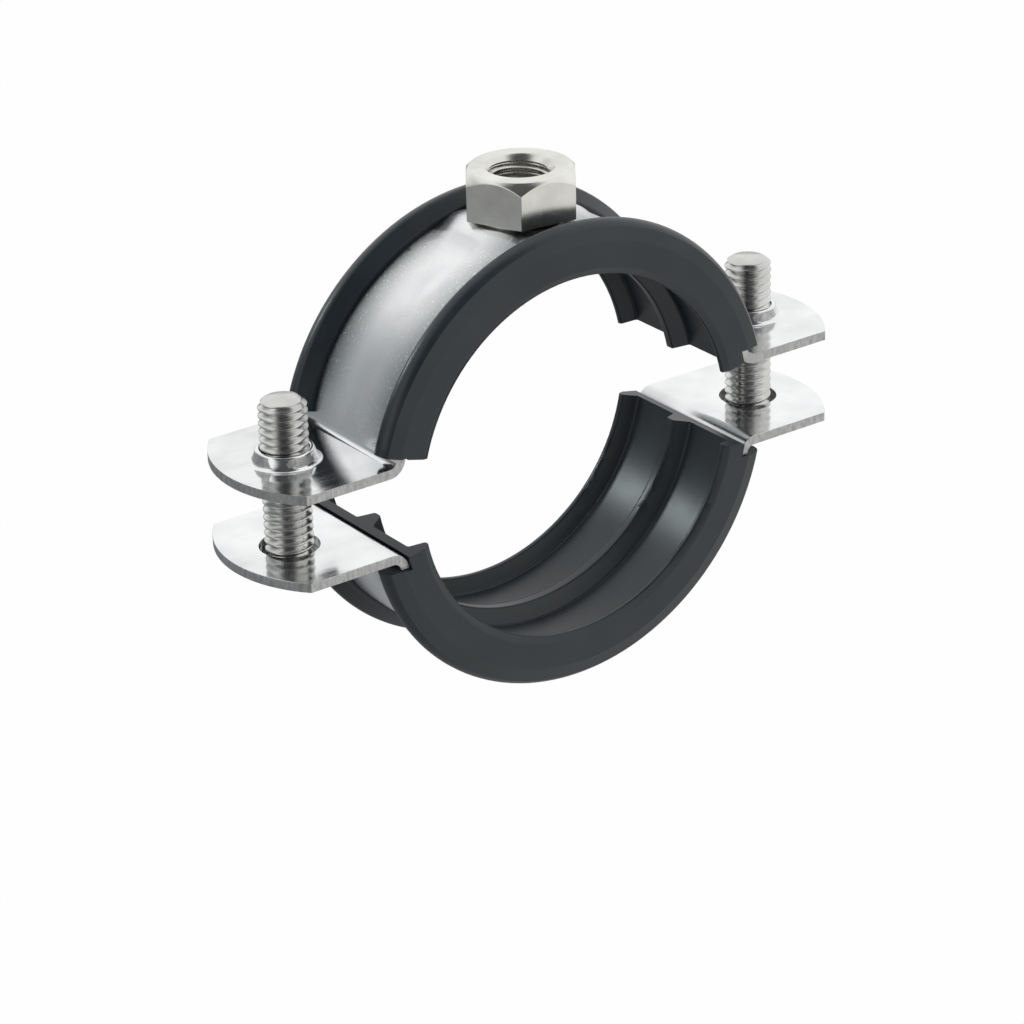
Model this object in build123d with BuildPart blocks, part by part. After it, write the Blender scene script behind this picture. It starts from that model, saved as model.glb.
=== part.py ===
"""Two-screw pipe clamp with a rubber lining, standing open on its two screws.

Two pressed steel half-bands carry a ribbed rubber strip each. A hexagon nut
on top hangs the clamp from a threaded rod. Two screws come up through plain
holes in the lower ears and run in threaded collars drawn out of the upper
ears, so turning them draws the halves together on the pipe.

Frame, in millimetres: X runs from the left ear to the right ear, Y is the
pipe's axis, Z points up through the nut. The origin is on the pipe's axis,
midway along the clamp, at the centre of the upper half.
"""

from build123d import *
import os
from math import cos, radians, sin, sqrt, tan

# The pipe and the rubber strip that grips it
pipe_radius = 22.8  # crests of the three ribs
rib_height = 1.95  # crest to valley floor
web_thickness = 1.2  # rubber under the valleys
side_wall = 1.35  # rubber outside the band's edge
lip_height = 2.1  # lips above the band's outer face
lip_reach = 2.45  # lips over the band, from its edge inwards
crest_chamfer = 0.45
rib_base_half = 1.7
rib_crest_half = 0.6
rim_base_half = 2.0  # outer ribs at the valley floor, from the side face
rim_crest_half = 1.1
strip_clearance = 0.05  # rubber to steel, all round

# The pressed steel half-bands
strip_thickness = 1.2
band_width = 19.2
ear_width = 21.0
ear_offset = 4.7  # pipe axis to the ear's gripping face
ear_bow = 4.0  # how far the ear's end bows out past its corners
ear_margin = 3.9  # screw axis to the ear's corners, along X
bend_radius = 1.0  # inside radius of the fold
opening = 0.5  # how far the lower half stands below the pipe's axis

# The raised seat that the nut is welded on
seat_rise = 1.0  # seat above the round band
seat_margin = 1.0  # flat beside the nut
seat_run = 4.5  # slope from the flat down to the round band
seat_clearance = 0.2  # seat to the lips beside it
seat_corner_radius = 2.4

# Ends of the rubber strips, in degrees from the line through both screws
upper_end_angle = 13.5
lower_end_angle = 11.5
upper_slip_angle = 1.5  # the upper strip sits this far round towards the right

# Screws, collars and clearance holes
screw_spacing = 70.0
screw_radius = 2.95
screw_length = 20.0
screw_tip_chamfer = 0.55
head_radius = 5.0
head_height = 2.2
head_edge_radius = 0.8
slot_width = 1.6
slot_depth = 1.1
head_clearance = 0.02
running_clearance = 0.05
hole_clearance = 0.7
collar_height = 1.6
collar_wall_top = 0.5
collar_wall_base = 1.0
collar_edge_radius = 0.35
collar_root_radius = 0.7
collar_mouth_radius = 0.15
collar_entry_radius = 0.5

# Connection nut
nut_across_flats = 13.0
nut_height = 5.65
nut_turn = -6.0  # degrees from flats square to the pipe's axis
nut_bore_radius = 3.4
nut_mouth_radius = 4.3
nut_chamfer_angle = 45.0
nut_chamfer_start = 0.95  # top face's circle as a share of the flats
weld_ring_radius = 5.6
weld_ring_height = 0.3

# Radii of the strip, from the pipe outwards
floor_radius = pipe_radius + rib_height
web_radius = floor_radius + web_thickness
band_inner_radius = web_radius + strip_clearance
band_outer_radius = band_inner_radius + strip_thickness
lip_base_radius = band_outer_radius + strip_clearance
lip_top_radius = lip_base_radius + lip_height
relief_radius = web_radius + strip_clearance / 2

# Half widths along the pipe
channel_half = band_width / 2 + strip_clearance
lining_half = channel_half + side_wall
lip_tip_half = channel_half - lip_reach
seat_half_width = lip_tip_half - seat_clearance

# Levels of the upper half, mirrored in the lower one
ear_outer_level = ear_offset + strip_thickness
shoulder_level = ear_outer_level + bend_radius
seat_level = band_outer_radius + seat_rise
nut_level = seat_level + weld_ring_height
screw_x = screw_spacing / 2
ear_corner_x = screw_x + ear_margin
thread_bore_radius = screw_radius + running_clearance
clearance_hole_radius = screw_radius + hole_clearance
lower_ear_level = -opening - ear_outer_level
head_seat_level = lower_ear_level - head_clearance

ear_end_x = ear_corner_x + ear_bow

# Seat, in side view: flat, slopes and the feet where they meet the round band.
seat_half = nut_across_flats / 2 + seat_margin
seat_foot = seat_half + seat_run
seat_foot_level = sqrt(band_outer_radius**2 - seat_foot**2)
seat_root_x = seat_foot + seat_run / 2
seat_root_level = seat_foot_level - (seat_level - seat_foot_level) / 2
seat_cut_level = seat_root_level - seat_run

# Nut's top cone
nut_top = nut_level + nut_height
nut_face_radius = nut_chamfer_start * nut_across_flats / 2
nut_blank_radius = 0.6 * nut_across_flats  # clears the corners
nut_cone_drop = (nut_blank_radius - nut_face_radius) * tan(radians(nut_chamfer_angle))

LONG = 4 * ear_end_x  # longer than anything it cuts


lower_centre = (0, 0, -opening)
lower_side_view = Plane(origin=lower_centre, x_dir=(1, 0, 0), z_dir=(0, -1, 0))


def plane_at(angle, centre):
    """Plane through a half's axis: local x runs along it, local y outwards."""
    turn = radians(angle)
    return Plane(origin=centre, x_dir=(0, 1, 0), z_dir=(sin(turn), 0, -cos(turn)))


# Section of the rubber strip, drawn with x along the pipe and y outwards.
# Each corner of the half outline has its own rounding.
half_outline = [
    ((lining_half, lip_base_radius), 0),
    ((lining_half, lip_top_radius), 1.9),
    ((lip_tip_half + 1.5, lip_top_radius), 0.8),
    ((lip_tip_half, lip_base_radius + 0.5), 0.4),
    ((lip_tip_half, lip_base_radius), 0),
    ((channel_half, lip_base_radius), 0),
    ((channel_half, web_radius), 0),
]
inner_outline = [
    ((rib_crest_half, pipe_radius), 0.4),
    ((rib_base_half, floor_radius), 0.5),
    ((lining_half - rim_base_half, floor_radius), 0.5),
    ((lining_half - rim_crest_half, pipe_radius), 0.4),
    ((lining_half - crest_chamfer, pipe_radius), 0.25),
    ((lining_half, pipe_radius + 2 * crest_chamfer), 0.4),
]
half_ring = inner_outline + half_outline
full_ring = half_ring + [((-x, y), corner) for (x, y), corner in reversed(half_ring)]

with BuildSketch() as strip_section:
    with BuildLine():
        FilletPolyline(
            *[point for point, corner in full_ring],
            radius=[corner for point, corner in full_ring],
            close=True,
        )
    make_face()

# Side view of a half-band and its ears, folded from one strip, for the upper half.
with BuildSketch() as band_fold:
    Circle(band_outer_radius)
    with Locations((0, ear_offset + strip_thickness / 2)):
        Rectangle(2 * ear_end_x, strip_thickness)
    Circle(band_inner_radius, mode=Mode.SUBTRACT)
    with Locations((0, ear_offset - LONG / 2)):
        Rectangle(LONG, LONG, mode=Mode.SUBTRACT)
    folds = band_fold.vertices().filter_by(lambda v: abs(v.X) < lip_top_radius)
    fillet(folds.group_by(Axis.Y)[-1], radius=bend_radius)
    folds = band_fold.vertices().filter_by(lambda v: abs(v.X) < lip_top_radius)
    fillet(folds.group_by(Axis.Y)[0], radius=bend_radius + strip_thickness)

# Side view of all that lies inside the seat's outer face.
with BuildSketch() as seat_outline:
    with BuildLine():
        Polyline(
            (-seat_root_x, seat_cut_level),
            (-seat_root_x, seat_root_level),
            (-seat_half, seat_level),
            (seat_half, seat_level),
            (seat_root_x, seat_root_level),
            (seat_root_x, seat_cut_level),
            close=True,
        )
    make_face()
    Circle(band_outer_radius)
    crowns = seat_outline.vertices().group_by(Axis.Y)[-1]
    fillet(crowns, radius=seat_corner_radius)
    feet = seat_outline.vertices().filter_by(
        lambda v: abs(abs(v.X) - seat_foot) < 0.01 and v.Y > seat_cut_level
    )
    fillet(feet, radius=seat_corner_radius)
    with Locations((0, seat_cut_level - LONG / 2)):
        Rectangle(LONG, LONG, mode=Mode.SUBTRACT)

# Plan of a pair of ears, bowed out at their ends.
with BuildSketch() as ear_plan:
    with BuildLine():
        near = Line((-ear_corner_x, -ear_width / 2), (ear_corner_x, -ear_width / 2))
        right = ThreePointArc(near @ 1, (ear_end_x, 0), (ear_corner_x, ear_width / 2))
        far = Line(right @ 1, (-ear_corner_x, ear_width / 2))
        ThreePointArc(far @ 1, (-ear_end_x, 0), near @ 0)
    make_face()

# Half section of a collar drawn up round its screw, from the screw's axis.
with BuildSketch() as collar_section:
    with BuildLine():
        FilletPolyline(
            (thread_bore_radius, ear_offset),
            (thread_bore_radius, ear_outer_level + collar_height),
            (thread_bore_radius + collar_wall_top, ear_outer_level + collar_height),
            (thread_bore_radius + collar_wall_base, ear_outer_level),
            (thread_bore_radius + 2 * collar_wall_base, ear_outer_level),
            (thread_bore_radius + 2 * collar_wall_base, ear_offset),
            radius=[0, collar_mouth_radius, collar_edge_radius, collar_root_radius, 0, 0],
            close=True,
        )
    make_face()

with BuildPart() as upper_strap:
    with BuildSketch(Plane.XZ):
        add(band_fold.sketch)
    extrude(amount=ear_width / 2, both=True)
    with BuildSketch():
        add(ear_plan.sketch)
    extrude(amount=LONG, both=True, mode=Mode.INTERSECT)
    # The band is narrower than the ears, so that the rubber lies flush with them.
    with BuildSketch(Plane.XY.offset(shoulder_level)):
        Rectangle(LONG, LONG)
        Rectangle(LONG, band_width, mode=Mode.SUBTRACT)
    extrude(amount=LONG, mode=Mode.SUBTRACT)
    # The seat is pressed up between the lips, hollow underneath.
    with BuildSketch(Plane.XZ):
        add(seat_outline.sketch)
    extrude(amount=seat_half_width, both=True)
    with BuildSketch(Plane.XZ):
        Circle(band_inner_radius)
    extrude(amount=LONG, both=True, mode=Mode.SUBTRACT)
    with BuildSketch(Plane.XZ):
        offset(seat_outline.sketch, amount=-strip_thickness)
    extrude(amount=seat_half_width - strip_thickness, both=True, mode=Mode.SUBTRACT)
    # Threaded collars, drawn up out of the ears.
    for x in (-screw_x, screw_x):
        with BuildSketch(Plane(origin=(x, 0, 0), x_dir=(1, 0, 0), z_dir=(0, -1, 0))):
            add(collar_section.sketch)
        revolve(axis=Axis((x, 0, 0), (0, 0, 1)))
    with BuildSketch(Plane.XY.offset(ear_offset)):
        with Locations((-screw_x, 0), (screw_x, 0)):
            Circle(thread_bore_radius)
    extrude(amount=strip_thickness + collar_height, mode=Mode.SUBTRACT)
    mouths = upper_strap.edges().filter_by(GeomType.CIRCLE).filter_by(
        lambda edge: abs(edge.radius - thread_bore_radius) < 0.01
    )
    fillet(mouths.group_by(Axis.Z)[0], radius=collar_entry_radius)

with BuildPart() as lower_strap:
    with BuildSketch(lower_side_view):
        mirror(band_fold.sketch, about=Plane.XZ)
    extrude(amount=ear_width / 2, both=True)
    with BuildSketch():
        add(ear_plan.sketch)
    extrude(amount=LONG, both=True, mode=Mode.INTERSECT)
    with BuildSketch(Plane.XY.offset(-opening - shoulder_level)):
        Rectangle(LONG, LONG)
        Rectangle(LONG, band_width, mode=Mode.SUBTRACT)
    extrude(amount=-LONG, mode=Mode.SUBTRACT)
    with BuildSketch(Plane.XY.offset(-opening)):
        with Locations((-screw_x, 0), (screw_x, 0)):
            Circle(clearance_hole_radius)
    extrude(amount=-LONG, mode=Mode.SUBTRACT)

# The rubber strip is bent round each half, and cut back where the steel folds out.
with BuildPart() as upper_lining:
    with BuildSketch(plane_at(180 - upper_end_angle - upper_slip_angle, (0, 0, 0))):
        add(strip_section.sketch)
    revolve(axis=Axis.Y, revolution_arc=180 - 2 * upper_end_angle)
    with BuildSketch(Plane.XZ):
        Rectangle(LONG, 2 * (shoulder_level + strip_clearance))
        Circle(relief_radius, mode=Mode.SUBTRACT)
    extrude(amount=LONG, both=True, mode=Mode.SUBTRACT)

with BuildPart() as lower_lining:
    with BuildSketch(plane_at(-lower_end_angle, lower_centre)):
        add(strip_section.sketch)
    revolve(axis=Axis(lower_centre, (0, 1, 0)), revolution_arc=180 - 2 * lower_end_angle)
    with BuildSketch(lower_side_view):
        Rectangle(LONG, 2 * (shoulder_level + strip_clearance))
        Circle(relief_radius, mode=Mode.SUBTRACT)
    extrude(amount=LONG, both=True, mode=Mode.SUBTRACT)

with BuildPart() as connection_nut:
    with BuildSketch(Plane.XY.offset(nut_level)):
        RegularPolygon(nut_across_flats / 2, 6, major_radius=False, rotation=nut_turn)
    extrude(amount=nut_height)
    # The corners are turned off at the top by a shallow cone.
    with BuildSketch(Plane.XZ):
        with BuildLine():
            Polyline(
                (0, nut_level),
                (nut_blank_radius, nut_level),
                (nut_blank_radius, nut_top - nut_cone_drop),
                (nut_face_radius, nut_top),
                (0, nut_top),
                close=True,
            )
        make_face()
    revolve(axis=Axis.Z, mode=Mode.INTERSECT)
    with BuildSketch(Plane.XY.offset(seat_level)):
        Circle(weld_ring_radius)
    extrude(amount=weld_ring_height)
    with Locations((0, 0, nut_top)):
        CounterSinkHole(nut_bore_radius, nut_mouth_radius, counter_sink_angle=90)

os.makedirs("parts", exist_ok=True)
steel_screws = {"left_screw": -screw_x, "right_screw": screw_x}
for name, x in steel_screws.items():
    with BuildPart() as screw:
        with Locations((x, 0, head_seat_level)):
            Cylinder(head_radius, head_height, align=(Align.CENTER, Align.CENTER, Align.MAX))
        fillet(screw.edges().group_by(Axis.Z)[0], radius=head_edge_radius)
        with Locations((x, 0, head_seat_level - head_height)):
            Box(
                4 * head_radius,
                slot_width,
                2 * slot_depth,
                mode=Mode.SUBTRACT,
            )
        with Locations((x, 0, head_seat_level)):
            Cylinder(
                screw_radius, screw_length, align=(Align.CENTER, Align.CENTER, Align.MIN)
            )
        chamfer(screw.edges().group_by(Axis.Z)[-1], length=screw_tip_chamfer)
    screw.part.label = name
    export_step(screw.part, f"parts/{name}.step")

finished = {
    "upper_strap": upper_strap,
    "lower_strap": lower_strap,
    "upper_lining": upper_lining,
    "lower_lining": lower_lining,
    "connection_nut": connection_nut,
}
for name, piece in finished.items():
    piece.part.label = name
    export_step(piece.part, f"parts/{name}.step")
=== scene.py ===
"""Dresses a rubber lined pipe clamp: pressed steel half-bands with threaded collars,
ribbed rubber strips, a welded hexagon nut and two threaded clamping screws."""

from math import cos, radians, sin, tau

import bmesh
import bpy
from bpy.props import FloatProperty, FloatVectorProperty, IntProperty, PointerProperty
from mathutils import Matrix, Vector


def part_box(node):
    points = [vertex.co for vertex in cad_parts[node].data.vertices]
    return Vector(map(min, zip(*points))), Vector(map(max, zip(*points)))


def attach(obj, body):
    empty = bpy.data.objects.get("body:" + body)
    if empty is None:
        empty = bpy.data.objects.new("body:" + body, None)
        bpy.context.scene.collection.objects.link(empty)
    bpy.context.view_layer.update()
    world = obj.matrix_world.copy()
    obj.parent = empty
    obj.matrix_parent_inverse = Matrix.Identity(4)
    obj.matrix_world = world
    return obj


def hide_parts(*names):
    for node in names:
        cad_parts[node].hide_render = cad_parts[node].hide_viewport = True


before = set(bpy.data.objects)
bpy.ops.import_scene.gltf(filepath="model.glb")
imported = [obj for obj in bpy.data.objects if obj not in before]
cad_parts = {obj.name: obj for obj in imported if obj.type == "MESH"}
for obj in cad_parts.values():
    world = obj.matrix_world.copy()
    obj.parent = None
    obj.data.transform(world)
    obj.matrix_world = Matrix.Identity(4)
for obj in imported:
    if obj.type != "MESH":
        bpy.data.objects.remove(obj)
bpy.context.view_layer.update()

bl_info = {
    "name": "Lined pipe clamp",
    "version": (1, 0, 0),
    "blender": (4, 5, 0),
    "location": "3D View > Sidebar > Clamp",
    "description": "Dresses a two-screw pipe clamp with a rubber lining",
    "category": "Add Mesh",
}

MM = 0.001
OVERRUN = 1.0 * MM  # how far a cutting shape runs past what it cuts
SLIVER = 0.001 * MM  # corners closer than this are joined

# The raised seat on the upper half-band, and the ends of both half-bands
BAND_RADIUS = 27.2 * MM  # outer face of the round strip
STRIP_THICKNESS = 1.2 * MM
SEAT_TOP = 28.2 * MM
SEAT_SIDE = 7.1 * MM  # beyond it the strip lies under the lips
BOSS_RADIUS = 6.3 * MM  # what stays flat under the nut
BOSS_FALL = 4.2 * MM  # length of the soft slope round the flat
EAR_END = 38.2 * MM  # the ears' rounded ends lie beyond it
BAND_END = 24.5 * MM  # where the round band gives way to the fold
EAR_START = 27.5 * MM

# The slope on both faces of the rubber strips
RIM_FACE = 11.0 * MM  # side face, from the middle of the strip
RIM_START = 26.9 * MM  # radius where the slope begins
RIM_REACH = 31.0 * MM  # radius past the strip, where the cutter ends
RIM_FALL = 1.0 * MM  # depth of the slope at that radius
CREASE_RADIUS = 26.95 * MM
CREASE_BAND = 0.06 * MM
LOWER_AXIS = -0.5 * MM  # height of the lower half's own axis

# The clamping screws and the nut's core
SHANK_LENGTH = 20.0 * MM
SHANK_RADIUS = 3.3 * MM  # blank, a little wider than the thread
POINT_LENGTH = 1.0 * MM
POINT_RADIUS = 2.4 * MM
TIP_RADIUS = 2.2 * MM
TIP_ROUND = 0.12 * MM
HEAD_OVERLAP = 0.02 * MM  # head past the shank's start
SHANK_OVERLAP = 0.5 * MM  # shank inside the head
NUT_CORE_RADIUS = 3.30 * MM

# One pitch of a thread: share of its depth, share of its pitch
THREAD_PROFILE = (
    (0.05, 0.00),
    (0.00, 0.08),
    (0.05, 0.16),
    (0.82, 0.44),
    (0.97, 0.51),
    (1.00, 0.58),
    (0.97, 0.65),
    (0.82, 0.72),
    (0.05, 1.00),
)

# What only reflections see: a direction, where its zone starts and is full, its colour
WHITE = (1.0, 1.0, 1.0)
WORLD_ZONES = (
    ((-0.72, 0.69, 0.08), 0.72, 0.97, (0.33, 0.35, 0.36)),  # grey on the left
    ((-0.50, -0.70, 0.50), 0.72, 0.94, (0.07, 0.07, 0.075)),  # dark in front
    ((-0.28, -0.40, 0.87), 0.76, 0.95, (0.07, 0.07, 0.075)),  # dark above the front
)
FLOOR_DIM = (0.29, 0.30, 0.31)
FLOOR_ZONES = (
    ((0.81, -0.58, 0.0), -0.5, 0.7, (0.80, 0.80, 0.79)),  # pale on the right
    ((-0.58, -0.81, 0.0), 0.86, 0.97, (0.06, 0.06, 0.065)),  # dark in front
)
FLOOR_HALF_WIDTH = 4.0
FLOOR_GLOW = 0.97  # share of the floor's own light, the rest takes shadows

# Camera
IMAGE_WIDTH = 1024  # pixels that the focal length and the axis row count in
SENSOR_WIDTH = 36.0  # millimetres


# Sizes and finishes a user would change


class ClampThreadSettings(bpy.types.PropertyGroup):
    screw_pitch: FloatProperty(
        name="Screw pitch",
        description="Advance of the clamping screws for each turn",
        default=0.001,
        unit="LENGTH",
    )
    screw_crest_radius: FloatProperty(
        name="Screw crest radius",
        description="Radius over the crests of the clamping screws",
        default=0.00294,
        unit="LENGTH",
    )
    screw_root_radius: FloatProperty(
        name="Screw root radius",
        description="Radius at the bottom of the clamping screws' thread",
        default=0.00238,
        unit="LENGTH",
    )
    nut_pitch: FloatProperty(
        name="Nut pitch",
        description="Advance of the connection nut's thread for each turn",
        default=0.00125,
        unit="LENGTH",
    )
    nut_outer_radius: FloatProperty(
        name="Nut thread outer radius",
        description="Radius at the bottom of the nut's thread grooves",
        default=0.00402,
        unit="LENGTH",
    )
    steps: IntProperty(
        name="Steps for each turn",
        description="Facets in one turn of a thread",
        default=48,
    )


class ClampFinishSettings(bpy.types.PropertyGroup):
    steel: FloatVectorProperty(
        name="Strip steel",
        description="Colour of the bright strip",
        default=(0.87, 0.88, 0.885),
        subtype="COLOR",
    )
    cut_edge: FloatVectorProperty(
        name="Cut edge",
        description="Colour of the sheared edges of the strip",
        default=(0.52, 0.525, 0.52),
        subtype="COLOR",
    )
    nut: FloatVectorProperty(
        name="Nut steel",
        description="Colour of the connection nut",
        default=(0.77, 0.765, 0.72),
        subtype="COLOR",
    )
    screw: FloatVectorProperty(
        name="Screw steel",
        description="Colour of the clamping screws",
        default=(0.64, 0.64, 0.62),
        subtype="COLOR",
    )
    rubber: FloatVectorProperty(
        name="Rubber",
        description="Colour of the moulded strips",
        default=(0.0125, 0.0180, 0.0225),
        subtype="COLOR",
    )
    edge_round: FloatProperty(
        name="Edge rounding",
        description="Rounding of the steel's sheared corners",
        default=0.00012,
        unit="LENGTH",
    )


class ClampStageSettings(bpy.types.PropertyGroup):
    azimuth: FloatProperty(
        name="Azimuth",
        description="Direction the camera stands in, seen from above",
        default=radians(-35.69),
        subtype="ANGLE",
    )
    elevation: FloatProperty(
        name="Elevation",
        description="Height of the camera above the horizon",
        default=radians(23.6),
        subtype="ANGLE",
    )
    roll: FloatProperty(
        name="Roll",
        description="Turn of the camera about its line of sight",
        default=radians(-1.51),
        subtype="ANGLE",
    )
    distance: FloatProperty(
        name="Distance",
        description="Camera to the point it looks at",
        default=0.46286,
        unit="LENGTH",
    )
    focal_pixels: FloatProperty(
        name="Focal length in pixels",
        description="Focal length for an image of 1024 pixels",
        default=3799.5,
    )
    aim: FloatVectorProperty(
        name="Aim",
        description="Point the camera looks at",
        default=(-0.002165, 0.0, 0.003),
        subtype="TRANSLATION",
    )
    axis_row: FloatProperty(
        name="Axis row",
        description="Row of the image that the line of sight passes through",
        default=409.8,
    )
    floor_level: FloatProperty(
        name="Floor level",
        description="Height of the floor below the hanging clamp",
        default=-0.16,
        unit="LENGTH",
    )


# Shared steps in modelling


def node_copy(name):
    """A bmesh of one of the frame's parts, with its loose triangles joined."""
    bm = bmesh.new()
    bm.from_mesh(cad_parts[name].data)
    bmesh.ops.remove_doubles(bm, verts=bm.verts, dist=0.002 * MM)
    return bm


def merge_flats(bm):
    """Joins triangles that lie in one plane into whole faces."""
    bmesh.ops.dissolve_limit(
        bm,
        angle_limit=radians(0.2),
        use_dissolve_boundaries=False,
        verts=bm.verts,
        edges=bm.edges,
        delimit={"NORMAL"},
    )


def sharp_edges(bm, angle):
    """Edges where the surface turns by more than the angle."""
    return [
        e
        for e in bm.edges
        if len(e.link_faces) == 2 and e.calc_face_angle(0.0) > radians(angle)
    ]


def shade(bm, angle=38.0):
    """Smooth faces, with a crease wherever the surface turns sharply."""
    for face in bm.faces:
        face.smooth = True
    for edge in bm.edges:
        edge.smooth = True
    for edge in sharp_edges(bm, angle):
        edge.smooth = False


def make_object(bm, name, materials):
    """A finished piece at the origin, carrying its materials."""
    mesh = bpy.data.meshes.new(name)
    bm.to_mesh(mesh)
    bm.free()
    for material in materials:
        mesh.materials.append(material)
    obj = bpy.data.objects.new(name, mesh)
    bpy.context.scene.collection.objects.link(obj)
    return obj


def weigh_normals(obj):
    """Large flats keep their own direction next to small rounded edges."""
    modifier = obj.modifiers.new("Weighted normals", "WEIGHTED_NORMAL")
    modifier.keep_sharp = True
    modifier.weight = 60


def round_edges(bm, angle, offset):
    """Rounds every edge where the surface turns by more than the angle."""
    bmesh.ops.bevel(
        bm,
        geom=sharp_edges(bm, angle),
        offset=offset,
        offset_type="OFFSET",
        segments=2,
        profile=0.5,
        affect="EDGES",
        clamp_overlap=True,
        material=-1,
    )


def combine(obj, tool, operation):
    """Cuts, joins or keeps the common part of two closed shapes, then drops the tool."""
    modifier = obj.modifiers.new(operation.title(), "BOOLEAN")
    modifier.operation = operation
    modifier.solver = "EXACT"
    modifier.object = tool
    graph = bpy.context.evaluated_depsgraph_get()
    result = bpy.data.meshes.new_from_object(obj.evaluated_get(graph))
    if not result.polygons:
        raise RuntimeError(f"{operation.lower()} leaves nothing of {obj.name}")
    obj.modifiers.clear()
    old = obj.data
    obj.data = result
    bpy.data.meshes.remove(old)
    bpy.data.meshes.remove(tool.data)


def settle(obj, gap, angle, is_crease=None):
    """Joins the doubled corners that a cut leaves and sets the creases anew."""
    bm = bmesh.new()
    bm.from_mesh(obj.data)
    bmesh.ops.remove_doubles(bm, verts=bm.verts, dist=gap)
    shade(bm, angle)
    if is_crease:
        for edge in bm.edges:
            if all(is_crease(vert.co) for vert in edge.verts):
                edge.smooth = False
    bm.to_mesh(obj.data)
    bm.free()


def finish_piece(obj, name, body):
    """Hangs a piece on its body in place of the frame's plain part."""
    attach(obj, body)
    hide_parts(name)


def turned_solid(name, outline, centre, axis, steps, closed=False):
    """A solid turned about an axis from the points of its outline."""
    bm = bmesh.new()
    points = [bm.verts.new(point) for point in outline]
    pairs = list(zip(points, points[1:]))
    if closed:
        pairs.insert(0, (points[-1], points[0]))
    lines = [bm.edges.new(pair) for pair in pairs]
    bmesh.ops.spin(
        bm,
        geom=points + lines,
        cent=centre,
        axis=axis,
        dvec=(0, 0, 0),
        angle=tau,
        steps=steps,
        use_merge=True,
        use_duplicate=False,
    )
    bmesh.ops.remove_doubles(bm, verts=bm.verts, dist=SLIVER)
    bmesh.ops.recalc_face_normals(bm, faces=bm.faces)
    return make_object(bm, name, [])


def thread_solid(name, centre, low, high, root, crest, pitch, steps):
    """A closed right-hand threaded rod standing on a vertical axis.

    One pitch of the profile is drawn up the side and carried round and up.
    """
    turns = int((high - low) / pitch) + 4
    start = low - 2 * pitch
    bm = bmesh.new()
    points = []
    for depth_share, pitch_share in THREAD_PROFILE:
        radius = root + depth_share * (crest - root)
        place = (centre[0] + radius, centre[1], start + pitch_share * pitch)
        points.append(bm.verts.new(place))
    lines = [bm.edges.new(pair) for pair in zip(points, points[1:])]
    bmesh.ops.spin(
        bm,
        geom=points + lines,
        cent=(centre[0], centre[1], 0.0),
        axis=(0, 0, 1),
        dvec=(0, 0, pitch / steps),
        angle=tau * turns,
        steps=steps * turns,
        use_merge=False,
        use_duplicate=False,
    )
    bmesh.ops.remove_doubles(bm, verts=bm.verts, dist=4 * SLIVER)
    for level, up in ((low, -1), (high, 1)):
        bmesh.ops.bisect_plane(
            bm,
            geom=bm.verts[:] + bm.edges[:] + bm.faces[:],
            dist=0.1 * SLIVER,
            plane_co=(0, 0, level),
            plane_no=(0, 0, up),
            clear_outer=True,
        )
        rim = [
            e
            for e in bm.edges
            if e.is_boundary and abs(e.verts[0].co.z - level) < 10 * SLIVER
        ]
        bmesh.ops.holes_fill(bm, edges=rim, sides=0)
    bmesh.ops.recalc_face_normals(bm, faces=bm.faces)
    return make_object(bm, name, [])


# Finishes


def new_material(name):
    """An empty node material with its shader and coordinates ready."""
    material = bpy.data.materials.new(name)
    material.use_nodes = True
    tree = material.node_tree
    shader = tree.nodes["Principled BSDF"]
    coords = tree.nodes.new("ShaderNodeTexCoord")
    return material, tree, shader, coords


def add_noise(tree, vector, scale, detail=3.0, roughness=0.5, stretch=(1, 1, 1)):
    """Fractal noise on object coordinates, stretched to taste."""
    mapping = tree.nodes.new("ShaderNodeMapping")
    mapping.inputs["Scale"].default_value = stretch
    tree.links.new(vector, mapping.inputs["Vector"])
    noise = tree.nodes.new("ShaderNodeTexNoise")
    noise.inputs["Scale"].default_value = scale
    noise.inputs["Detail"].default_value = detail
    noise.inputs["Roughness"].default_value = roughness
    tree.links.new(mapping.outputs["Vector"], noise.inputs["Vector"])
    return noise.outputs["Fac"]


def add_range(tree, value, low, high, to_low, to_high):
    """A value spread from one range to another, held at the ends."""
    node = tree.nodes.new("ShaderNodeMapRange")
    node.inputs["From Min"].default_value = low
    node.inputs["From Max"].default_value = high
    node.inputs["To Min"].default_value = to_low
    node.inputs["To Max"].default_value = to_high
    tree.links.new(value, node.inputs["Value"])
    return node.outputs["Result"]


def add_math(tree, operation, *values):
    """One sum on up to three values."""
    node = tree.nodes.new("ShaderNodeMath")
    node.operation = operation
    for socket, value in zip(node.inputs, values):
        if isinstance(value, (int, float)):
            socket.default_value = value
        else:
            tree.links.new(value, socket)
    return node.outputs["Value"]


def add_mix(tree, share, first, second):
    """A colour between two others."""
    node = tree.nodes.new("ShaderNodeMix")
    node.data_type = "RGBA"
    tree.links.new(share, node.inputs["Factor"])
    for socket, value in ((node.inputs["A"], first), (node.inputs["B"], second)):
        if isinstance(value, (tuple, list)):
            socket.default_value = (*value, 1.0)
        else:
            tree.links.new(value, socket)
    return node.outputs["Result"]


def add_bump(tree, shader, height, strength, distance):
    """Fine relief on a shader's normal."""
    bump = tree.nodes.new("ShaderNodeBump")
    bump.inputs["Strength"].default_value = strength
    bump.inputs["Distance"].default_value = distance
    tree.links.new(height, bump.inputs["Height"])
    tree.links.new(bump.outputs["Normal"], shader.inputs["Normal"])


def scaled(colour, factor):
    """A lighter or darker shade of a colour."""
    return tuple(min(1.0, channel * factor) for channel in colour)


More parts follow.
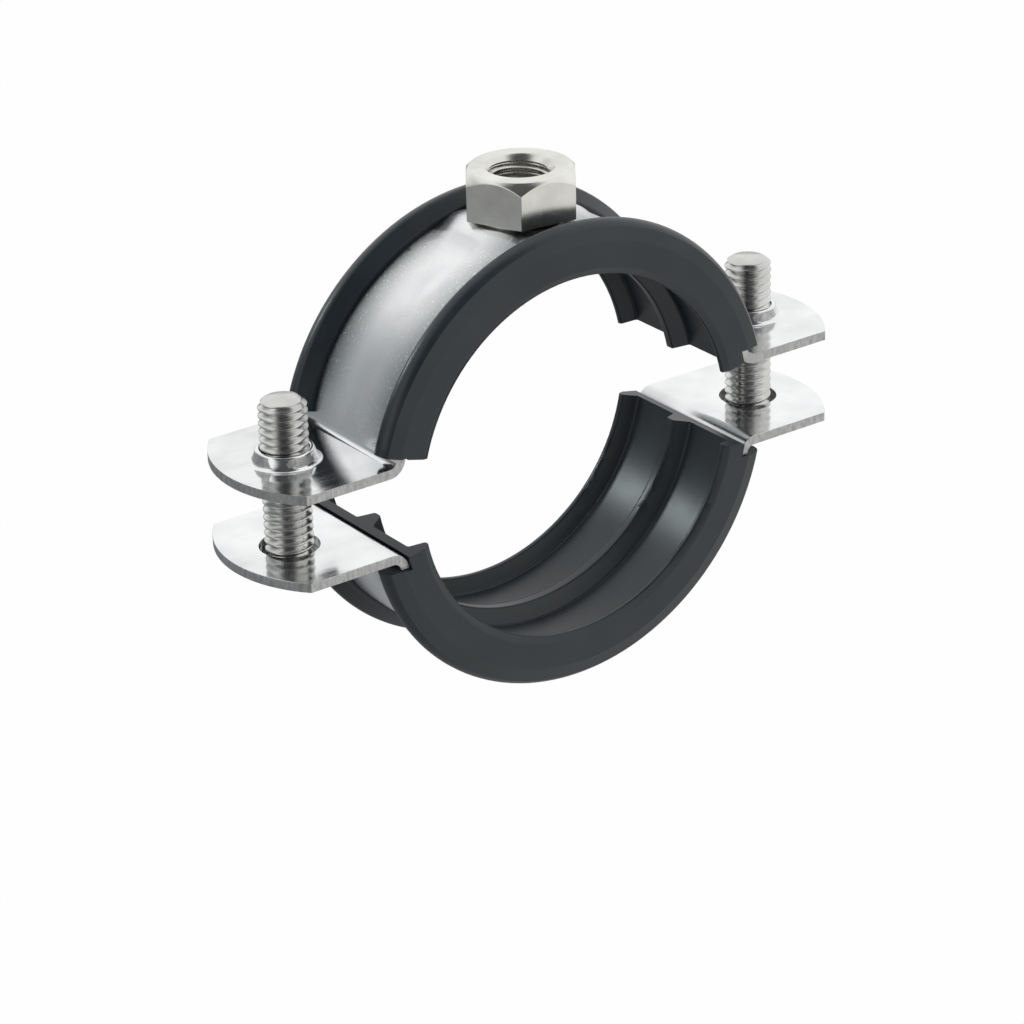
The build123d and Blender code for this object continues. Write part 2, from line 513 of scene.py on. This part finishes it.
def strip_steel(colour):
    """Bright rolled strip: polished on the ears, duller and speckled round the bend.

    Painted shade darkens the band beside both lips, standing in for the lips' shadow and
    reflection, and faint wipe marks lie all over.
    """
    material, tree, shader, coords = new_material("bright_strip_steel")
    place = coords.outputs["Object"]
    shader.inputs["Metallic"].default_value = 1.0
    axes = tree.nodes.new("ShaderNodeSeparateXYZ")
    tree.links.new(place, axes.inputs[0])
    reach = add_math(tree, "ABSOLUTE", axes.outputs["X"])
    on_band = add_range(tree, reach, BAND_END, EAR_START, 1.0, 0.0)
    cloud = add_noise(tree, place, 90.0, 3.0)
    waves = add_noise(tree, place, 160.0, 2.0, 0.5, (1.0, 1.0, 0.4))
    specks = add_noise(tree, place, 3200.0, 2.0, 0.7)
    lines = add_noise(tree, place, 2400.0, 3.0, 0.6, (0.04, 1.0, 1.0))
    pits = add_range(tree, specks, 0.63, 0.70, 0.0, 1.0)
    dull = add_range(tree, cloud, 0.3, 0.7, 0.26, 0.36)
    bright = add_range(tree, lines, 0.3, 0.7, 0.07, 0.14)
    finish = tree.nodes.new("ShaderNodeMix")
    tree.links.new(on_band, finish.inputs["Factor"])
    tree.links.new(bright, finish.inputs["A"])
    tree.links.new(dull, finish.inputs["B"])
    rough = add_math(tree, "MULTIPLY_ADD", pits, 0.10, finish.outputs["Result"])
    tree.links.new(rough, shader.inputs["Roughness"])
    shade_share = add_range(tree, waves, 0.3, 0.7, 0.0, 1.0)
    base = add_mix(tree, shade_share, scaled(colour, 0.90), scaled(colour, 1.06))
    # Painted shade: the band goes darker beside both lips, standing in for their shadow and
    # reflection.
    across = add_math(tree, "ABSOLUTE", axes.outputs["Y"])
    lip_shade = add_range(tree, across, 0.0015, 0.0070, 0.0, 1.0)
    lip_shade.node.interpolation_type = "SMOOTHSTEP"
    ragged = add_range(tree, waves, 0.2, 0.8, 0.55, 1.0)
    lip_shade = add_math(tree, "MULTIPLY", lip_shade, ragged)
    lip_shade = add_math(tree, "MULTIPLY", lip_shade, on_band)
    lip_shade = add_math(tree, "MULTIPLY", lip_shade, 0.8)
    # The dark colour of the painted shade beside the lips.
    base = add_mix(tree, lip_shade, base, (0.15, 0.175, 0.18))
    wipe = add_noise(tree, place, 55.0, 3.0, 0.6, (1.0, 1.6, 1.0))
    wipe = add_range(tree, wipe, 0.56, 0.66, 0.0, 0.22)
    base = add_mix(tree, wipe, base, (0.42, 0.43, 0.43))
    speckled = add_range(tree, specks, 0.60, 0.66, 0.0, 0.6)
    speckled = add_math(tree, "MULTIPLY", speckled, on_band)
    base = add_mix(tree, speckled, base, scaled(colour, 1.12))
    tree.links.new(base, shader.inputs["Base Color"])
    ripple = add_math(tree, "MULTIPLY_ADD", specks, 0.12, waves)
    add_bump(tree, shader, ripple, 0.10, 0.0002)
    return material


def cut_steel(colour):
    """Sheared edge: coarse vertical tear marks, matt and pale."""
    material, tree, shader, coords = new_material("sheared_edge_steel")
    place = coords.outputs["Object"]
    shader.inputs["Metallic"].default_value = 1.0
    tears = add_noise(tree, place, 2000.0, 4.0, 0.65, (1.0, 1.0, 0.35))
    grain = add_noise(tree, place, 2600.0, 2.0, 0.6)
    share = add_range(tree, tears, 0.35, 0.65, 0.0, 1.0)
    base = add_mix(tree, share, scaled(colour, 0.78), scaled(colour, 1.15))
    tree.links.new(base, shader.inputs["Base Color"])
    rough = add_range(tree, grain, 0.3, 0.7, 0.38, 0.60)
    tree.links.new(rough, shader.inputs["Roughness"])
    add_bump(tree, shader, tears, 0.35, 0.00006)
    return material


def turned_steel(name, colour, low, high, grain_scale, bump):
    """Machined steel: satin, with fine tool marks and a slight mottle."""
    material, tree, shader, coords = new_material(name)
    place = coords.outputs["Object"]
    shader.inputs["Metallic"].default_value = 1.0
    marks = add_noise(tree, place, grain_scale, 4.0, 0.6, (0.35, 0.35, 1.0))
    cloud = add_noise(tree, place, 220.0, 3.0)
    share = add_range(tree, cloud, 0.3, 0.7, 0.0, 1.0)
    base = add_mix(tree, share, scaled(colour, 0.86), scaled(colour, 1.08))
    tree.links.new(base, shader.inputs["Base Color"])
    rough = add_range(tree, marks, 0.3, 0.7, low, high)
    tree.links.new(rough, shader.inputs["Roughness"])
    add_bump(tree, shader, marks, bump, 0.00005)
    return material


def moulded_rubber(name, colour):
    """Extruded rubber: satin black with a fine skin and faint bloom."""
    material, tree, shader, coords = new_material(name)
    place = coords.outputs["Object"]
    cloud = add_noise(tree, place, 120.0, 4.0, 0.55)
    skin = add_noise(tree, place, 3500.0, 2.0, 0.6)
    share = add_range(tree, cloud, 0.3, 0.7, 0.0, 1.0)
    base = add_mix(tree, share, scaled(colour, 0.75), scaled(colour, 1.25))
    tree.links.new(base, shader.inputs["Base Color"])
    rough = add_range(tree, cloud, 0.3, 0.7, 0.29, 0.38)
    tree.links.new(rough, shader.inputs["Roughness"])
    shader.inputs["Specular IOR Level"].default_value = 0.5
    add_bump(tree, shader, skin, 0.10, 0.00003)
    return material


# Pieces


def mark_cut_faces(bm):
    """Gives the sheared sides and ends of a half-band their own finish."""
    for face in bm.faces:
        normal = face.normal
        centre = face.calc_center_median()
        faces_sideways = abs(normal.y) > 0.85
        at_ear_end = abs(centre.x) > EAR_END and abs(normal.z) < 0.5
        if faces_sideways or at_ear_end:
            face.material_index = 1


def divide_seat(bm, axis, distance):
    """Divides the faces round the seat by an upright plane across one axis."""
    place = [0.0, 0.0, 0.0]
    normal = [0.0, 0.0, 0.0]
    place[axis] = distance
    normal[axis] = 1.0
    near = [f for f in bm.faces if f.calc_center_median().z > 23.5 * MM]
    edges = {e for f in near for e in f.edges}
    verts = {v for f in near for v in f.verts}
    bmesh.ops.bisect_plane(
        bm, geom=[*verts, *edges, *near], dist=SLIVER, plane_co=place, plane_no=normal
    )


def soften_seat(bm):
    """Draws the flat under the nut down to the round band in a soft round boss."""
    for axis, stops in ((0, (5, 6, 7, 8, 9, 10, 11, 12)), (1, (2, 3.5, 5, 6))):
        for stop in stops:
            for side in (-1, 1):
                divide_seat(bm, axis, side * stop * MM)
    bm.normal_update()
    for vert in bm.verts:
        x, y, z = vert.co
        on_band = (x * x + z * z) ** 0.5 < BAND_RADIUS + 0.03 * MM
        if z < 20 * MM or on_band or abs(y) > SEAT_SIDE:
            continue
        share = min(1.0, max(0.0, ((x * x + y * y) ** 0.5 - BOSS_RADIUS) / BOSS_FALL))
        share = share * share * (3 - 2 * share)
        band = (BAND_RADIUS * BAND_RADIUS - x * x) ** 0.5 + 0.04 * MM
        level = SEAT_TOP + (band - SEAT_TOP) * share
        if vert.normal.z < 0:
            level -= STRIP_THICKNESS
        vert.co.z = min(z, level)
    bm.normal_update()


def dress_band(name, body):
    """A half-band with softened corners, a polished face and sheared sides."""
    settings = bpy.context.scene.clamp_finish
    bm = node_copy(name)
    merge_flats(bm)
    if name == "upper_strap":
        soften_seat(bm)
    mark_cut_faces(bm)
    round_edges(bm, 40.0, settings.edge_round)
    shade(bm, 60.0)
    steel = bpy.data.materials.get("bright_strip_steel") or strip_steel(settings.steel)
    edge = bpy.data.materials.get("sheared_edge_steel") or cut_steel(settings.cut_edge)
    obj = make_object(bm, name + "_dressed", [steel, edge])
    weigh_normals(obj)
    finish_piece(obj, name, body)


def rim_cutter(name, side, axis_height):
    """A coned ring that takes a shallow slope off the outer part of one face."""
    outline = [
        (RIM_START, side * (RIM_FACE + 0.02 * MM), axis_height),
        (RIM_REACH, side * (RIM_FACE - RIM_FALL), axis_height),
        (RIM_REACH, side * (RIM_FACE + OVERRUN), axis_height),
        (RIM_START, side * (RIM_FACE + OVERRUN), axis_height),
    ]
    return turned_solid(name, outline, (0.0, 0.0, axis_height), (0, 1, 0), 180, closed=True)


def dress_lining(name, body, axis_height):
    """A moulded rubber strip, smooth along its length with softened cut ends."""

    def on_crease(place):
        """Whether a point lies on the line where the rim's slope starts."""
        radius = (place.x**2 + (place.z - axis_height) ** 2) ** 0.5
        at_face = abs(place.y) > RIM_FACE - 0.03 * MM
        return at_face and abs(radius - CREASE_RADIUS) < CREASE_BAND

    bm = node_copy(name)
    merge_flats(bm)
    round_edges(bm, 50.0, 0.15 * MM)
    obj = make_object(bm, name + "_dressed", [])
    for side in (-1, 1):
        combine(obj, rim_cutter(name + "_rim", side, axis_height), "DIFFERENCE")
    settle(obj, 0.2 * SLIVER, 45.0, on_crease)
    colour = bpy.context.scene.clamp_finish.rubber
    obj.data.materials.append(moulded_rubber("black_rubber_" + name, colour))
    weigh_normals(obj)
    finish_piece(obj, name, body)


class CLAMP_OT_bands(bpy.types.Operator):
    """Dress both pressed half-bands"""

    bl_idname = "clamp.bands"
    bl_label = "Half-bands"

    def execute(self, context):
        dress_band("upper_strap", "upper_half")
        dress_band("lower_strap", "lower_half")
        return {"FINISHED"}


class CLAMP_OT_linings(bpy.types.Operator):
    """Dress both rubber strips"""

    bl_idname = "clamp.linings"
    bl_label = "Rubber strips"

    def execute(self, context):
        dress_lining("upper_lining", "upper_half", 0.0)
        dress_lining("lower_lining", "lower_half", LOWER_AXIS)
        return {"FINISHED"}


class CLAMP_OT_nut(bpy.types.Operator):
    """Cut the thread in the connection nut and finish it"""

    bl_idname = "clamp.nut"
    bl_label = "Connection nut"

    def execute(self, context):
        threads = context.scene.clamp_threads
        colours = context.scene.clamp_finish
        low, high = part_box("connection_nut")
        bm = node_copy("connection_nut")
        merge_flats(bm)
        round_edges(bm, 25.0, 0.10 * MM)
        nut = make_object(bm, "connection_nut_dressed", [])
        tap = thread_solid(
            "nut_tap",
            (0.0, 0.0),
            low[2] - OVERRUN,
            high[2] + OVERRUN,
            NUT_CORE_RADIUS,
            threads.nut_outer_radius,
            threads.nut_pitch,
            threads.steps,
        )
        combine(nut, tap, "DIFFERENCE")
        settle(nut, SLIVER, 38.0)
        nut.data.materials.append(
            turned_steel("satin_nut_steel", colours.nut, 0.17, 0.27, 3400.0, 0.015)
        )
        weigh_normals(nut)
        finish_piece(nut, "connection_nut", "upper_half")
        return {"FINISHED"}


class CLAMP_OT_screws(bpy.types.Operator):
    """Thread and finish both clamping screws"""

    bl_idname = "clamp.screws"
    bl_label = "Clamping screws"

    def execute(self, context):
        threads = context.scene.clamp_threads
        colours = context.scene.clamp_finish
        steel = turned_steel(
            "bright_screw_steel", colours.screw, 0.15, 0.28, 3000.0, 0.025
        )
        for name in ("left_screw", "right_screw"):
            low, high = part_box(name)
            centre = ((low[0] + high[0]) / 2, (low[1] + high[1]) / 2)
            seat = high[2] - SHANK_LENGTH
            shank = self.blank(name, centre, seat, high[2])
            rod = thread_solid(
                name + "_rod",
                centre,
                seat - OVERRUN,
                high[2] + OVERRUN,
                threads.screw_root_radius,
                threads.screw_crest_radius,
                threads.screw_pitch,
                threads.steps,
            )
            combine(shank, rod, "INTERSECT")
            head = self.head(name, seat)
            combine(head, shank, "UNION")
            settle(head, SLIVER, 38.0)
            head.data.materials.append(steel)
            weigh_normals(head)
            finish_piece(head, name, name + "_body")
        return {"FINISHED"}

    def blank(self, name, centre, seat, tip):
        """A turned blank with a coned point, a little wider than the thread."""
        foot = seat - SHANK_OVERLAP
        outline = [
            (0.0, foot),
            (SHANK_RADIUS, foot),
            (SHANK_RADIUS, tip - POINT_LENGTH),
            (POINT_RADIUS, tip - TIP_ROUND),
            (TIP_RADIUS, tip),
            (0.0, tip),
        ]
        points = [(centre[0] + r, centre[1], z) for r, z in outline]
        return turned_solid(
            name + "_blank", points, (centre[0], centre[1], 0.0), (0, 0, 1), 64
        )

    def head(self, name, seat):
        """The slotted head, taken from the frame's part up to where the shank starts."""
        bm = node_copy(name)
        merge_flats(bm)
        bmesh.ops.bisect_plane(
            bm,
            geom=bm.verts[:] + bm.edges[:] + bm.faces[:],
            dist=0.1 * SLIVER,
            plane_co=(0, 0, seat + HEAD_OVERLAP),
            plane_no=(0, 0, 1),
            clear_outer=True,
        )
        bmesh.ops.holes_fill(bm, edges=[e for e in bm.edges if e.is_boundary], sides=0)
        bmesh.ops.recalc_face_normals(bm, faces=bm.faces)
        return make_object(bm, name + "_dressed", [])


# Stage


def area_light(name, place, size, energy, colour=WHITE):
    """A soft square lamp turned towards the clamp."""
    lamp = bpy.data.lights.new(name, "AREA")
    lamp.shape = "RECTANGLE"
    lamp.size = lamp.size_y = size
    lamp.energy = energy
    lamp.color = colour
    obj = bpy.data.objects.new(name, lamp)
    obj.location = place
    obj.rotation_euler = (-Vector(place)).to_track_quat("-Z", "Y").to_euler()
    bpy.context.scene.collection.objects.link(obj)
    return obj


def toward(tree, vector, direction, low, high):
    """How far a direction leans to one side: 0 up to the low share, 1 past the high one."""
    dot = tree.nodes.new("ShaderNodeVectorMath")
    dot.operation = "DOT_PRODUCT"
    tree.links.new(vector, dot.inputs[0])
    dot.inputs[1].default_value = Vector(direction).normalized()
    spread = add_range(tree, dot.outputs["Value"], low, high, 0.0, 1.0)
    spread.node.interpolation_type = "SMOOTHSTEP"
    return spread


def grade(tree, vector, colour, zones):
    """A colour with zones of other colours laid over it by direction."""
    for direction, start, full, other in zones:
        colour = add_mix(tree, toward(tree, vector, direction, start, full), colour, other)
    return colour


def ray_share(tree, names):
    """1 for the named kinds of ray and 0 for the rest."""
    path = tree.nodes.new("ShaderNodeLightPath")
    seen = path.outputs[names[0]]
    for name in names[1:]:
        seen = add_math(tree, "MAXIMUM", seen, path.outputs[name])
    return seen


def white_to_eye(tree, graded):
    """White for the camera, graded for reflections."""
    direct = ray_share(tree, ["Is Camera Ray", "Is Transmission Ray"])
    return add_mix(tree, direct, graded, WHITE)


def blend(tree, share, plain, glowing, output):
    """Shows the glowing shader to the camera and to reflections, the plain one to the rest."""
    seen = ray_share(tree, ["Is Camera Ray", "Is Glossy Ray", "Is Transmission Ray"])
    if share < 1.0:
        seen = add_math(tree, "MULTIPLY", seen, share)
    mix = tree.nodes.new("ShaderNodeMixShader")
    tree.links.new(seen, mix.inputs["Fac"])
    tree.links.new(plain, mix.inputs[1])
    tree.links.new(glowing, mix.inputs[2])
    tree.links.new(mix.outputs["Shader"], tree.nodes[output].inputs["Surface"])


class CLAMP_OT_stage(bpy.types.Operator):
    """Set up the floor, the lamps and the camera"""

    bl_idname = "clamp.stage"
    bl_label = "Stage"

    def execute(self, context):
        settings = context.scene.clamp_stage
        context.scene.view_settings.view_transform = "Standard"
        self.floor(settings.floor_level)
        self.world(context.scene)
        self.lamps()
        self.camera(context.scene, settings)
        return {"FINISHED"}

    def floor(self, level):
        """A wide pale floor, white to the eye and graded in the steel's reflections."""
        bm = bmesh.new()
        bmesh.ops.create_grid(bm, x_segments=1, y_segments=1, size=FLOOR_HALF_WIDTH)
        bmesh.ops.translate(bm, vec=(0, 0, level), verts=bm.verts)
        material, tree, shader, coords = new_material("white_floor")
        shader.inputs["Base Color"].default_value = (0.9, 0.9, 0.9, 1.0)
        shader.inputs["Roughness"].default_value = 0.8
        shader.inputs["Specular IOR Level"].default_value = 0.1
        outward = tree.nodes.new("ShaderNodeVectorMath")
        outward.operation = "NORMALIZE"
        tree.links.new(coords.outputs["Object"], outward.inputs[0])
        graded = grade(tree, outward.outputs["Vector"], FLOOR_DIM, FLOOR_ZONES)
        glow = tree.nodes.new("ShaderNodeEmission")
        tree.links.new(white_to_eye(tree, graded), glow.inputs["Color"])
        plain, glowing = shader.outputs["BSDF"], glow.outputs["Emission"]
        blend(tree, FLOOR_GLOW, plain, glowing, "Material Output")
        make_object(bm, "floor", [material])

    def world(self, scene):
        """A white studio whose grey and dark zones only reflections see."""
        world = bpy.data.worlds.new("studio_white")
        world.use_nodes = True
        tree = world.node_tree
        ambient = tree.nodes["Background"]
        ambient.inputs["Color"].default_value = (*WHITE, 1.0)
        ambient.inputs["Strength"].default_value = 0.6
        coords = tree.nodes.new("ShaderNodeTexCoord")
        graded = grade(tree, coords.outputs["Generated"], WHITE, WORLD_ZONES)
        sight = tree.nodes.new("ShaderNodeBackground")
        tree.links.new(white_to_eye(tree, graded), sight.inputs["Color"])
        plain, glowing = ambient.outputs["Background"], sight.outputs["Background"]
        blend(tree, 1.0, plain, glowing, "World Output")
        scene.world = world

    def lamps(self):
        """A soft lamp over the front, and one behind that only the rubber catches.

        The rubber strips are dressed before this, since the rear lamp is linked to them.
        """
        front = area_light("front_lamp", (-0.20, -0.60, 0.80), 0.6, 4.0)
        front.visible_glossy = False
        rear = area_light("rear_lamp", (-0.52, 0.74, 0.42), 0.16, 1.7, (0.88, 1.0, 1.0))
        catch = bpy.data.collections.new("lamp_catch")
        for name in ("upper_lining_dressed", "lower_lining_dressed"):
            catch.objects.link(bpy.data.objects[name])
        rear.light_linking.receiver_collection = catch

    def camera(self, scene, settings):
        """A long lens on the clamp, set by its angles, distance and line of sight."""
        data = bpy.data.cameras.new("camera")
        camera = bpy.data.objects.new("camera", data)
        scene.collection.objects.link(camera)
        azimuth, elevation = settings.azimuth, settings.elevation
        level_share = cos(elevation)
        back = Vector(
            (sin(azimuth) * level_share, -cos(azimuth) * level_share, sin(elevation))
        )
        camera.location = Vector(settings.aim) + back * settings.distance
        look = (-back).to_track_quat("-Z", "Y").to_matrix()
        roll = Matrix.Rotation(settings.roll, 3, "Z")
        camera.rotation_euler = (look @ roll).to_euler()
        data.sensor_width = SENSOR_WIDTH
        data.lens = settings.focal_pixels / IMAGE_WIDTH * SENSOR_WIDTH
        data.shift_y = (settings.axis_row - IMAGE_WIDTH / 2) / IMAGE_WIDTH
        data.clip_start, data.clip_end = 0.01, 20.0
        scene.camera = camera


class CLAMP_PT_panel(bpy.types.Panel):
    """Steps that dress the clamp"""

    bl_idname = "CLAMP_PT_panel"
    bl_label = "Pipe clamp"
    bl_space_type = "VIEW_3D"
    bl_region_type = "UI"
    bl_category = "Clamp"

    def draw(self, context):
        for step in STEPS:
            self.layout.operator(step)
        for group in (
            context.scene.clamp_threads,
            context.scene.clamp_finish,
            context.scene.clamp_stage,
        ):
            box = self.layout.box()
            for key in group.bl_rna.properties.keys():
                if key not in ("rna_type", "name"):
                    box.prop(group, key)


STEPS = ("clamp.bands", "clamp.linings", "clamp.nut", "clamp.screws", "clamp.stage")
CLASSES = (
    ClampThreadSettings,
    ClampFinishSettings,
    ClampStageSettings,
    CLAMP_OT_bands,
    CLAMP_OT_linings,
    CLAMP_OT_nut,
    CLAMP_OT_screws,
    CLAMP_OT_stage,
    CLAMP_PT_panel,
)


def register():
    for cls in CLASSES:
        bpy.utils.register_class(cls)
    bpy.types.Scene.clamp_threads = PointerProperty(type=ClampThreadSettings)
    bpy.types.Scene.clamp_finish = PointerProperty(type=ClampFinishSettings)
    bpy.types.Scene.clamp_stage = PointerProperty(type=ClampStageSettings)


def unregister():
    del bpy.types.Scene.clamp_stage
    del bpy.types.Scene.clamp_finish
    del bpy.types.Scene.clamp_threads
    for cls in reversed(CLASSES):
        bpy.utils.unregister_class(cls)


def main():
    register()
    bpy.ops.clamp.bands()
    bpy.ops.clamp.linings()
    bpy.ops.clamp.nut()
    bpy.ops.clamp.screws()
    bpy.ops.clamp.stage()


if __name__ == "__main__":
    main()
